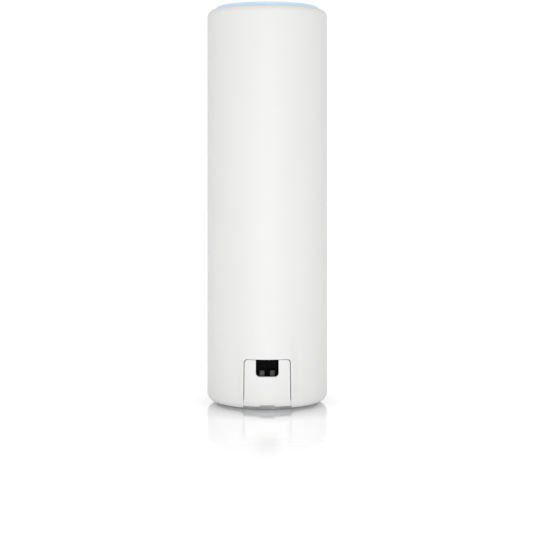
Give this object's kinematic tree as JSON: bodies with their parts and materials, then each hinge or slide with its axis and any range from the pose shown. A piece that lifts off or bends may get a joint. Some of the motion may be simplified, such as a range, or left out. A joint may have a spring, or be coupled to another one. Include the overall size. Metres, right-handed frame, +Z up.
{
  "type": "mesh wifi node",
  "caption": "Tall round mesh wifi node with a light ring on top, a slide-off rear port door with a cable window, and a network jack in a cable bay.",
  "frame": {"origin": "centre of the foot ring's rest face, on the can's axis", "axes": "+Z up the can's axis, -Y towards the rear port door, +X to the right when the door is faced"},
  "size_m": [0.0486, 0.0491, 0.1593],
  "materials": {
    "casing_white": "fine matte moulded texture",
    "light_diffuser": "translucent, lit pale blue from below",
    "clear_guide": "clear polished plastic",
    "led_body": "white package, lit",
    "seal_foam": "closed-cell adhesive foam",
    "board_green": "solder mask over woven glass",
    "connector_ivory": "moulded nylon",
    "ribbon": "flat film cable",
    "frame_grey": "light grey moulded plastic",
    "antenna_tin": "tin-plated stamped sheet",
    "coax_jacket": "smooth extruded jacket",
    "gold_plate": "gold plated",
    "chip_black": "fine moulding compound",
    "shield_tin": "tin-plated sheet",
    "pad_blue": "soft silicone pad",
    "cast_aluminium": "as die cast",
    "screw_steel": "zinc plated",
    "jack_black": "moulded glass-filled plastic",
    "ferrite": "ferrite and tape",
    "capacitor_sleeve": "shrink sleeve",
    "button_grey": "moulded plastic",
    "bay_black": "black spark-eroded texture",
    "foot_rubber": "soft light grey rubber",
    "clip_grey": "dark grey moulded plastic"
  },
  "bodies": {
    "casing": {"outer_shell": "casing_white", "top_cap": "casing_white", "light_ring": "light_diffuser", "light_guide": "clear_guide", "status_leds": "led_body", "top_seal": "seal_foam", "led_board": "board_green", "main_board": "board_green", "led_connector": "connector_ivory", "led_cable": "ribbon", "inner_frame": "frame_grey", "base_cap": "frame_grey", "low_band_antenna_left": "antenna_tin", "low_band_antenna_right": "antenna_tin", "high_band_antenna_left": "antenna_tin", "high_band_antenna_right": "antenna_tin", "antenna_cables": "coax_jacket", "coax_plugs": "gold_plate", "jack_contacts": "gold_plate", "processor_chip": "chip_black", "memory_chips": "chip_black", "radio_chips": "chip_black", "radio_front_ends": "chip_black", "power_controller": "chip_black", "reset_switch": "chip_black", "processor_shield": "shield_tin", "radio_shield": "shield_tin", "jack_shield": "shield_tin", "jack_leads": "shield_tin", "thermal_pads": "pad_blue", "heat_sink": "cast_aluminium", "led_board_screws": "screw_steel", "board_screws": "screw_steel", "frame_screws": "screw_steel", "base_screws": "screw_steel", "network_jack": "jack_black", "poe_transformer": "ferrite", "power_inductor": "ferrite", "bulk_capacitors": "capacitor_sleeve", "port_bay": "bay_black", "foot_ring": "foot_rubber", "cable_clip": "clip_grey"},
    "door": {"port_door": "casing_white"},
    "reset": {"reset_button": "button_grey", "switch_plunger": "gold_plate"}
  },
  "joints": [
    {"name": "door_slide", "type": "slide", "parent": "casing", "child": "door", "axis": [0, 0, -1], "range_m": [0, 0.022]},
    {"name": "reset_press", "type": "slide", "parent": "casing", "child": "reset", "axis": [0, 0, 1], "range_m": [0, 0.0004], "stiffness_N_per_m": 400, "springref_m": -0.002}
  ]
}
